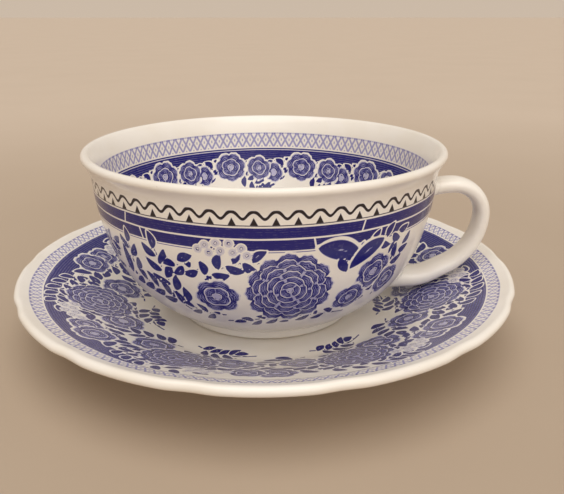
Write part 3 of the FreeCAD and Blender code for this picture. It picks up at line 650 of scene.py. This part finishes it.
def arcade(angle, depth, count, radius, top, rise, thick):
    """A row of round arches with a small point standing under each."""
    pitch = TURN * radius / count
    phase = angle * (count / TURN)
    wave = (phase * TURN).math("COSINE")
    steep = (phase * TURN).math("SINE") * (rise / 2 * TURN / pitch)
    dip = wave * -0.5 + 0.5
    line_at = (dip + dip * dip) * (rise / 2) + top
    width = (steep * steep + 1.0).math("SQRT")
    arch = ((depth - line_at).size() / width).ramp(thick / 2 + 0.10, thick / 2 - 0.08)
    beside = ((phase + 0.5).fract() - 0.5).size() * pitch
    low = top + rise - 0.35
    high = low + 1.95
    point = (beside - (depth - low) * 0.5).ramp(0.12, -0.10) * depth.inside(low, high, 0.08)
    return arch.over(point)


def lace(angle, depth, count, low, high):
    """A pale net with a dotted edge."""
    span = high - low
    u = angle * (count / TURN)
    v = (depth - low) / span * 2.0
    left = ((u + v * 0.5).fract() - 0.5).size()
    right = ((u - v * 0.5).fract() - 0.5).size()
    net = left.most(right).ramp(0.32, 0.42)
    eye = (left + right).ramp(0.22, 0.12)
    dots = (u * 2.0).fract().inside(0.25, 0.75, 0.1) * depth.inside(low, low + 0.5, 0.1)
    drawn = (net * 0.6 + eye * 0.5).least(0.85)
    return drawn * depth.inside(low, high, 0.1) + dots * 0.5


def breaks(angle, depth, count, radius, offset, slant, low, high):
    """Thin light joints across a band."""
    beside = ((angle * (count / TURN) + depth * slant + offset).fract() - 0.5).size()
    return (beside * (TURN * radius / count)).ramp(0.30, 0.14) * depth.inside(low, high, 0.05)


def inner_print(finish, angle, within, clear):
    """The lace and the band inside the cup; within is the distance down from the lip."""
    inner_band = band(finish, within, 11.0, 15.6, pitch=0.7, light=0.86)
    inner_band = inner_band.over(within.inside(10.3, 10.8, 0.1))
    return (inner_band * clear).over(lace(angle, within, count=104, low=4.6, high=9.8))


def cup_print(finish):
    """The cup's print: arches, bands and flowers outside, lace, band and flowers inside.

    It gives the ink, and the part of it that is drawn in the darkest ink."""
    x, y, _ = finish.coordinates()
    angle = y.math("ARCTAN2", x)
    drop = finish.field("drop")
    depth = drop + finish.noise(9.0, 1.0) * 0.25 - 0.125
    within = drop.less_from(-THICK)
    flowers, clear = flower_ink(finish)
    arches = arcade(angle, depth, count=62, radius=50.3, top=4.75, rise=1.75, thick=0.72)
    rule = depth.inside(8.05, 8.32, 0.06) * 0.9
    upper_joints = breaks(angle, depth, 5, 50, 0.32, 0.004, low=8.8, high=11.5)
    lower_joints = breaks(angle, depth, 7, 49, 0.05, -0.005, low=11.8, high=15.0)
    joints = upper_joints.over(lower_joints)
    upper = band(finish, depth, 8.75, 11.40, pitch=0.62, light=0.94)
    lower = band(finish, depth, 11.85, 14.6, pitch=0.62, light=0.94)
    bands = upper.over(lower).over(depth.inside(14.95, 15.2, 0.06) * 0.8)
    bands = (bands * joints.less_from(1.0)) * clear
    inner = inner_print(finish, angle, within, clear)
    margin = angle.size().ramp(0.235, 0.250)
    outside = drop.ramp(-0.5, 0.5)
    edging = arches.over(rule)
    border = edging.over(bands) * margin * outside
    ink = border.over(flowers).over(inner * outside.less_from(1.0))
    return ink, edging * outside


def saucer_print(finish):
    """The saucer's print: lace inside its edge, a band that is open at the front, and flowers."""
    x, y, _ = finish.coordinates()
    angle = y.math("ARCTAN2", x)
    depth = finish.field("drop") + finish.noise(9.0, 1.0) * 0.3 - 0.15
    flowers, clear = flower_ink(finish)
    border = lace(angle, depth, count=180, low=4.0, high=7.3)
    open_front = (angle + math.pi / 2).size().ramp(0.42, 0.50)
    dark = band(finish, depth, 8.0, 13.6, 0.7, 0.86) * open_front
    dark = dark.over(depth.inside(7.7, 8.0, 0.07))
    return border.over(dark * clear).over(flowers), None


def make_glaze(name, pattern=None):
    finish = Finish(name)
    colour = glaze(finish)
    if pattern is None:
        finish.set_colour(colour)
        return finish.material
    ink, edge = pattern(finish)
    printed(finish, colour, ink, ink.ramp(0.55, 0.95), edge)
    return finish.material


def dress(piece, material, body, slot, *nodes):
    piece.data.materials.append(material)
    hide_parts(*nodes)
    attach(piece, body)


# ---------------------------------------------------------------- the cup's bowl

CUP_COLUMNS = 560
PRINT_STEP = 0.58
PRINT_RADIUS = 47.0
INNER_PRINT_RADIUS = 46.0
INNER_SPRAYS = 11
SIDE_SPRAY_AT = -91.0

# A drop so large that no flower reaches it.
ELSEWHERE = 200.0


def make_cup_bowl(material):
    outside = bowl_outside(PRINT_STEP)
    inside = bowl_inside(0.75)
    outline = chain(outside, inside)
    points, faces = turned(outline, CUP_COLUMNS)
    rings = len(outline) - 2
    is_outside = np.zeros(len(points), bool)
    is_outside[:(len(outside) - 1) * CUP_COLUMNS] = True
    is_outside[rings * CUP_COLUMNS] = True
    below = LIP_CENTRE[1] - points[:, 2]
    drop = np.where(is_outside, below, -below - THICK)
    sheet = PrintedSheet(points, np.where(is_outside, drop, ELSEWHERE), PRINT_RADIUS)
    inner_drop = np.where(is_outside, ELSEWHERE, -drop - THICK)
    inner = PrintedSheet(points, inner_drop, INNER_PRINT_RADIUS)
    for middle in (0.0, 180.0):
        sheet.shift = math.radians(middle) * sheet.middle_radius
        cup_spray(sheet)
    sheet.shift = math.radians(SIDE_SPRAY_AT) * sheet.middle_radius
    cup_side_spray(sheet)
    for number in range(INNER_SPRAYS):
        inner.shift = number * TURN / INNER_SPRAYS * inner.middle_radius
        well_spray(inner)
    fields = {"drop": drop}
    for label in ("motif", "tone", "stem", "near"):
        fields[label] = np.where(is_outside, sheet.fields()[label], inner.fields()[label])
    piece = make_piece("bowl_glazed", points, faces, fields)
    dress(piece, material, "cup", "cup_glaze", "cup_bowl")


# ---------------------------------------------------------------- foot rings


CUP_FOOT_COLUMNS = 360
SAUCER_FOOT_COLUMNS = 420
FOOT_ROUND = 0.8


def make_cup_foot(material):
    top = BASE[1]
    low = CUP_FOOT
    outer = CUP_FOOT_OUT - FOOT_ROUND
    inner = CUP_FOOT_IN + FOOT_ROUND
    outline = closed(
        arc((outer, low + FOOT_ROUND), FOOT_ROUND, -90, 0, 0.2),
        arc((CUP_FOOT_OUT + 0.55, top - 0.35), 0.55, 180, 100, 0.15),
        line((CUP_FOOT_OUT + 0.4, top + 0.4), (CUP_FOOT_IN - 1.0, top + 0.4), 2.0),
        arc((CUP_FOOT_IN - 1.0, top - 0.8), 1.0, 90, 0, 0.25),
        arc((inner, low + FOOT_ROUND), FOOT_ROUND, 180, 270, 0.2),
        line((inner, low), (outer, low), 0.8),
    )
    points, faces = turned(outline, CUP_FOOT_COLUMNS)
    piece = make_piece("cup_foot_turned", points, faces)
    dress(piece, material, "cup", "foot_glaze", "cup_foot_ring")


def make_saucer_foot(material):
    top = SAUCER_FOOT_TOP
    low = SAUCER_FOOT
    outer = SAUCER_FOOT_OUT - FOOT_ROUND
    inner = SAUCER_FOOT_IN + FOOT_ROUND
    outline = closed(
        arc((outer, low + FOOT_ROUND), FOOT_ROUND, -90, 0, 0.2),
        arc((SAUCER_FOOT_OUT + 1.0, top - 0.9), 1.0, 180, 120, 0.25),
        line((SAUCER_FOOT_OUT + 0.2, top + 1.2), (SAUCER_FOOT_IN - 0.4, top + 0.9), 2.0),
        arc((SAUCER_FOOT_IN - 0.9, PLATE_LOW - 0.8), 0.9, 60, 0, 0.25),
        arc((inner, low + FOOT_ROUND), FOOT_ROUND, 180, 270, 0.2),
        line((inner, low), (outer, low), 0.8),
    )
    points, faces = turned(outline, SAUCER_FOOT_COLUMNS)
    piece = make_piece("saucer_foot_turned", points, faces)
    dress(piece, material, "saucer", "foot_glaze", "saucer_foot_ring")


CLAY_DARK = (0.62, 0.52, 0.40)
CLAY_PALE = (0.78, 0.69, 0.56)


def foot_material(name, low):
    """Glaze that stops short of the face the ring stands on, which is bare fired clay."""
    finish = Finish(name)
    colour = glaze(finish)
    lift = finish.coordinates()[2]
    edge = lift + finish.noise(2.5, 2.0) * 0.3 - 0.15 - low
    bare = edge.ramp(0.42, 0.30)
    grit = finish.noise(0.35, 2.0, 0.7)
    clay = finish.mix(grit.ramp(0.35, 0.7), CLAY_DARK, CLAY_PALE)
    finish.set_colour(finish.mix(bare, colour, clay))
    finish.set_roughness(bare * 0.62 + 0.2)
    return finish.material


# ---------------------------------------------------------------- the saucer's plate


def saucer_face(height, step, side):
    """One face of the saucer from its middle out to where the edge starts to round.

    side is 1 for the top and -1 for the underside."""
    steep = math.degrees(math.asin((SHOULDER_REACH - WELL) / (2 * WELL_CURVE)))
    well_centre = (WELL, height + WELL_CURVE)
    turn = math.radians(steep)
    meet = (WELL + WELL_CURVE * math.sin(turn), height + WELL_CURVE * (1 - math.cos(turn)))
    shoulder = (meet[0] + WELL_CURVE * math.sin(turn), meet[1] - WELL_CURVE * math.cos(turn))
    slope = math.radians(FLANGE_SLOPE)
    end = (shoulder[0] - WELL_CURVE * math.sin(slope), shoulder[1] + WELL_CURVE * math.cos(slope))
    last = SAUCER_R - EDGE_ROUND * (1 + side * math.sin(slope))
    rim = (last, end[1] + (last - end[0]) * math.tan(slope))
    return chain(
        line((0, height), (WELL - 3, height), 3.0),
        line((WELL - 3, height), (WELL, height), step),
        arc(well_centre, WELL_CURVE, -90, -90 + steep, step),
        arc(shoulder, WELL_CURVE, 90 + steep, 90 + FLANGE_SLOPE, step),
        line(end, rim, step),
    )


def saucer_edge(under, over):
    """The rounded edge from the underside's last point to the top's."""
    centre = ((under[0] + over[0]) / 2, (under[1] + over[1]) / 2)
    radius = math.dist(under, over) / 2
    start = angle_of(centre, under)
    return arc(centre, radius, start, start + 180, 0.3)


def lobed(radius, angle):
    """Draw the edge in at each notch between two lobes, fading out over the flange."""
    spacing = TURN / LOBES
    away = ((angle + spacing / 2) % spacing - spacing / 2) * SAUCER_R
    wave = np.cos(math.pi * away / (2 * NOTCH_HALF_WIDTH)) ** 2
    notch = np.where(np.abs(away) < NOTCH_HALF_WIDTH, wave, 0)
    fade = np.clip((radius - (SAUCER_R - NOTCH_FADE)) / NOTCH_FADE, 0, 1) ** 2
    return radius - NOTCH * notch * fade


SAUCER_COLUMNS = 660
SAUCER_SPRAYS = 7
SAUCER_SPRAY_TURN = 0.42
SAUCER_PRINT_RADIUS = 55.0


def make_saucer_plate(material):
    under = saucer_face(PLATE_LOW, 2.0, -1)
    over = saucer_face(PLATE_LOW + PLATE, 0.5, 1)
    outline = chain(under, saucer_edge(under[-1], over[-1]), over[::-1])
    points, faces = turned(outline, SAUCER_COLUMNS, lobed)
    top_first = (len(outline) - len(over) - 1) * SAUCER_COLUMNS
    under_middle = len(points) - 2
    on_top = np.arange(len(points)) >= top_first
    on_top[under_middle] = False
    radius = np.hypot(points[:, 0], points[:, 1])
    drop = np.where(on_top, SAUCER_R - radius, -1.0)
    sheet = PrintedSheet(points, np.where(on_top, drop, ELSEWHERE), SAUCER_PRINT_RADIUS)
    for number in range(SAUCER_SPRAYS):
        sheet.shift = (number * TURN / SAUCER_SPRAYS + SAUCER_SPRAY_TURN) * sheet.middle_radius
        saucer_spray(sheet)
    fields = {"drop": drop, **sheet.fields()}
    piece = make_piece("saucer_glazed", points, faces, fields)
    dress(piece, material, "saucer", "saucer_glaze", "saucer_plate")


# ---------------------------------------------------------------- the handle

STRAP_SIDES = 56
STRAP_RINGS = 260
HANDLE_RINGS = 150

# Thickness and width of the strap at its upper root, round the bend and at its lower root.
UPPER_ROOT = (4.8, 9.2)
STRAP = (4.6, 8.4)
LOWER_ROOT = (6.6, 11.0)
BEND_SHARE = 0.36
SQUARENESS = 2.3

# How far the strap's ends go into the wall.
SUNK = 0.9


def handle_line():
    """The middle line of the strap in the x-z plane, from the upper root round to the lower root."""
    reach = HANDLE_OUT - STRAP[0] / 2
    bend = CUP_FOOT + 28.6
    top = 9.7
    back = 18.6
    tail = 16.0
    slope = 27.0
    root = (47.0, CUP_FOOT + 36.0)
    crown = (reach - top, bend + top)
    rise = crown[1] - root[1]
    arch = (math.dist(crown, root) ** 2) / (2 * rise)
    arch_centre = (crown[0], crown[1] - arch)
    back_centre = (reach - back, bend)
    turn = math.radians(slope)
    back_end = (back_centre[0] + back * math.sin(turn), bend - back * math.cos(turn))
    tail_low = CUP_FOOT + 7.9
    tail_rise = tail * (1 - math.cos(turn))
    run = (back_end[1] - tail_low - tail_rise) / math.tan(turn)
    tail_end = (back_end[0] - run, tail_low + tail_rise)
    level_end = (tail_end[0] - tail * math.sin(turn), tail_low)
    level_centre = (level_end[0], tail_low + tail)
    return chain(
        arc(arch_centre, arch, angle_of(arch_centre, root), 90, 0.4),
        arc((crown[0], crown[1] - top), top, 90, 0, 0.4),
        arc(back_centre, back, 0, slope - 90, 0.4),
        line(back_end, tail_end, 0.4),
        arc(level_centre, tail, slope - 90, -90, 0.4),
        line(level_end, (26.0, tail_low), 0.4),
    )


def resampled(points, count):
    """Points evenly spaced along a polyline, with their unit headings and shares of its length."""
    points = np.array(points)
    along = np.concatenate([[0], np.cumsum(np.hypot(*np.diff(points, axis=0).T))])
    even = np.linspace(0, along[-1], count)
    placed = np.stack([np.interp(even, along, points[:, k]) for k in (0, 1)], -1)
    heading = np.gradient(placed, axis=0)
    heading /= np.hypot(*heading.T)[:, None]
    return placed, heading, even / along[-1]


def depth_in_wall(points):
    """How far points lie inside the bowl's outer face, in millimetres."""
    radius = np.hypot(points[..., 0], points[..., 1])
    height = points[..., 2]
    turn = BOWL_TURN - np.hypot(radius - TURN_CENTRE[0], height - TURN_CENTRE[1])
    wall = WALL_RADIUS - np.hypot(radius - WALL_CENTRE[0], height - WALL_CENTRE[1])
    return np.where(height < BELLY[1], turn, wall)


def strap_surface():
    """The strap's rings, from inside the upper root to inside the lower root: rings x sides x 3."""
    middle, heading, share = resampled(handle_line(), STRAP_RINGS)
    ends = np.where(share < BEND_SHARE, share / BEND_SHARE, (1 - share) / (1 - BEND_SHARE))
    ease = ends * ends * (3 - 2 * ends)
    upper = share < BEND_SHARE
    thick = np.where(upper, UPPER_ROOT[0], LOWER_ROOT[0]) * (1 - ease) + STRAP[0] * ease
    wide = np.where(upper, UPPER_ROOT[1], LOWER_ROOT[1]) * (1 - ease) + STRAP[1] * ease
    turn = np.arange(STRAP_SIDES) * TURN / STRAP_SIDES
    normal = np.stack([heading[:, 1], -heading[:, 0]], -1)
    up = np.sign(np.cos(turn)) * np.abs(np.cos(turn)) ** (2 / SQUARENESS)
    side = np.sign(np.sin(turn)) * np.abs(np.sin(turn)) ** (2 / SQUARENESS)
    x = middle[:, :1] - normal[:, :1] * (thick / 2)[:, None] * up[None, :]
    z = middle[:, 1:] - normal[:, 1:] * (thick / 2)[:, None] * up[None, :]
    y = (wide / 2)[:, None] * side[None, :]
    return np.stack([x, y, z], -1)


def crossing(line_points, depth):
    """Fractional indices at which a line along the strap leaves and re-enters the wall."""
    inside = depth_in_wall(line_points) - depth
    outside = np.nonzero(inside < 0)[0]
    first, last = outside[0], outside[-1]
    leave = first - inside[first] / (inside[first] - inside[first - 1]) if first > 0 else 0.0
    enter = last + inside[last] / (inside[last] - inside[last + 1]) if last + 1 < len(inside) else last
    return leave, enter


def sample(line_points, index):
    places = np.arange(len(line_points))
    return np.stack([np.interp(index, places, line_points[:, k]) for k in range(3)], -1)


def make_handle(material):
    surface = strap_surface()
    trimmed = np.zeros((HANDLE_RINGS, STRAP_SIDES, 3))
    for side in range(STRAP_SIDES):
        leave, enter = crossing(surface[:, side], SUNK)
        trimmed[:, side] = sample(surface[:, side], np.linspace(leave, enter, HANDLE_RINGS))
    points = trimmed.reshape(-1, 3)
    faces = grid_faces(HANDLE_RINGS, STRAP_SIDES)
    points = np.vstack([points, trimmed[0].mean(0)[None], trimmed[-1].mean(0)[None]])
    last = (HANDLE_RINGS - 1) * STRAP_SIDES
    for c in range(STRAP_SIDES):
        right = (c + 1) % STRAP_SIDES
        faces.append([len(points) - 2, right, c])
        faces.append([len(points) - 1, last + c, last + right])
    piece = make_piece("handle_strap", points, faces)
    dress(piece, material, "cup", "handle_glaze", "cup_handle")


def wall_point(point):
    """The nearest point of the bowl's outer face."""
    depth = depth_in_wall(point)
    radius = np.hypot(point[..., 0], point[..., 1])
    height = point[..., 2]
    low = height < BELLY[1]
    centre_r = np.where(low, TURN_CENTRE[0], WALL_CENTRE[0])
    centre_z = np.where(low, TURN_CENTRE[1], WALL_CENTRE[1])
    size = np.hypot(radius - centre_r, height - centre_z)
    new_r = radius + (radius - centre_r) / size * depth
    new_z = height + (height - centre_z) / size * depth
    share = new_r / radius
    return np.stack([point[..., 0] * share, point[..., 1] * share, new_z], -1)


def wall_out(points):
    """Unit directions out of the bowl's outer face."""
    radius = np.hypot(points[..., 0], points[..., 1])
    low = points[..., 2] < BELLY[1]
    centre_r = np.where(low, TURN_CENTRE[0], WALL_CENTRE[0])
    centre_z = np.where(low, TURN_CENTRE[1], WALL_CENTRE[1])
    r = radius - centre_r
    z = points[..., 2] - centre_z
    size = np.hypot(r, z)
    share = r / size / radius
    return np.stack([share * points[..., 0], share * points[..., 1], z / size], -1)


def root_edges(surface, end, along):
    """Where each side of the strap meets the wall, and the point a length along the strap from there."""
    ring_length = math.dist(surface[0].mean(0), surface[1].mean(0))
    way = 1 if end == 0 else -1
    corner = np.zeros((STRAP_SIDES, 3))
    on_strap = np.zeros((STRAP_SIDES, 3))
    for side in range(STRAP_SIDES):
        lines = surface[:, side]
        hit = crossing(lines, 0.0)[end]
        corner[side] = sample(lines, hit)
        on_strap[side] = sample(lines, hit + way * along / ring_length)
    return corner, on_strap


SLIP_STEPS = 12


def make_slip(name, node, material, end, along, spread):
    """The fillet of slip round one root, hollow and tangent to the wall and to the strap.

    end is 0 at the upper root and 1 at the lower one."""
    corner, on_strap = root_edges(strap_surface(), end, along)
    middle = corner.mean(0)
    outward = corner - middle
    outward /= np.linalg.norm(outward, axis=1)[:, None]
    on_wall = wall_point(corner + outward * spread)
    shares = np.linspace(0, 1, SLIP_STEPS + 1)
    path = [(1 - t) ** 2 * on_wall + 2 * t * (1 - t) * corner + t ** 2 * on_strap for t in shares]
    inner_strap = on_strap + 0.08 * (on_strap.mean(0) - on_strap)
    inner_corner = corner + 0.12 * (middle - corner) - 0.6 * wall_out(corner)
    inset_wall = on_wall - 0.35 * wall_out(on_wall)
    path += [inner_strap, inner_corner, inset_wall]
    points = np.array(path).reshape(-1, 3)
    faces = grid_faces(len(path), STRAP_SIDES) + closing_faces(len(path), STRAP_SIDES)
    if end == 1:
        faces = [face[::-1] for face in faces]
    piece = make_piece(name, points, faces)
    dress(piece, material, "cup", "handle_glaze", node)


# ---------------------------------------------------------------- the setting


FLOOR_REACH = 9000.0
# The floor's colour near the saucer is painted shade. Far off it is the floor's own pale colour.
FLOOR_PAINTED_SHADE = (0.43, 0.34, 0.255)
FLOOR_FAR = (0.57, 0.47, 0.375)
SUNLIGHT = (1.0, 0.97, 0.94)
HORIZON = (0.50, 0.41, 0.325, 1)
ZENITH = (0.36, 0.325, 0.285, 1)


def make_floor():
    """A plain pale floor, with painted shade that darkens it near the saucer."""
    reach = FLOOR_REACH
    corners = [(-reach, -reach, 0), (reach, -reach, 0), (reach, reach, 0), (-reach, reach, 0)]
    floor = make_piece("floor", corners, [[0, 1, 2, 3]])
    finish = Finish("floor_paint")
    x, y, _ = finish.coordinates()
    # Painted shade: the colour is darker within about 90 to 520 mm of the saucer, where shade falls. The
    # noise adds random tone.
    far = (x * x + y * y).math("SQRT").ramp(90.0, 520.0)
    cloud = finish.noise(90.0, 2.0) * 0.25
    finish.set_colour(finish.mix(far * 0.85 + cloud, FLOOR_PAINTED_SHADE, FLOOR_FAR))
    finish.shader.inputs["Roughness"].default_value = 0.9
    finish.shader.inputs["Specular IOR Level"].default_value = 0.2
    floor.data.materials.append(finish.material)


def add_sun(name, energy, softness, lean, turn):
    """A far light. lean tips it from straight overhead, and turn sets the side it comes from."""
    sun = bpy.data.lights.new(name, "SUN")
    sun.angle = math.radians(softness)
    sun.energy = energy
    sun.color = SUNLIGHT
    light = bpy.data.objects.new(name, sun)
    light.rotation_euler = (math.radians(lean), 0, math.radians(turn))
    bpy.context.scene.collection.objects.link(light)


def make_lights():
    """Very soft light from almost overhead and from the front."""
    add_sun("skylight", 1.45, 56, 14, -8)
    add_sun("front_fill", 1.05, 60, 58, 16)


def make_world():
    """Warm light from the room all round, a little duller from above."""
    world = bpy.data.worlds.new("studio")
    world.use_nodes = True
    nodes = world.node_tree.nodes
    links = world.node_tree.links
    way = nodes.new("ShaderNodeTexCoord")
    split = nodes.new("ShaderNodeSeparateXYZ")
    height = nodes.new("ShaderNodeMapRange")
    height.inputs[1].default_value = 0.05
    height.inputs[2].default_value = 0.60
    sky = nodes.new("ShaderNodeMix")
    sky.data_type = "RGBA"
    sky.inputs[6].default_value = HORIZON
    sky.inputs[7].default_value = ZENITH
    links.new(way.outputs["Generated"], split.inputs[0])
    links.new(split.outputs[2], height.inputs[0])
    links.new(height.outputs[0], sky.inputs[0])
    links.new(sky.outputs[2], nodes["Background"].inputs["Color"])
    nodes["Background"].inputs["Strength"].default_value = 1.2
    bpy.context.scene.world = world
    bpy.context.scene.view_settings.view_transform = "Standard"


def make_camera():
    """The camera stands in front of the cup and looks down at it."""
    back = 188.1
    rise = 38.05
    pitch = 0.3572
    yaw = -0.0223
    camera = bpy.data.cameras.new("camera")
    camera.lens = 40.48
    camera.sensor_width = 36.0
    eye = bpy.data.objects.new("camera", camera)
    eye.location = (0.8 * MM, -back * MM, (LIP_CENTRE[1] + rise) * MM)
    eye.rotation_euler = (math.pi / 2 - pitch, 0, yaw)
    bpy.context.scene.collection.objects.link(eye)
    bpy.context.scene.camera = eye


make_camera()
make_lights()
make_world()
make_floor()

make_cup_bowl(make_glaze("cup_print", cup_print))
make_saucer_plate(make_glaze("saucer_print", saucer_print))
make_cup_foot(foot_material("cup_foot_clay", CUP_FOOT))
make_saucer_foot(foot_material("saucer_foot_clay", SAUCER_FOOT))
plain = make_glaze("plain_glaze")
make_handle(plain)
make_slip("upper_slip", "handle_upper_slip_joint", plain, 0, 2.6, 1.8)
make_slip("lower_slip", "handle_lower_slip_joint", plain, 1, 5.0, 3.2)
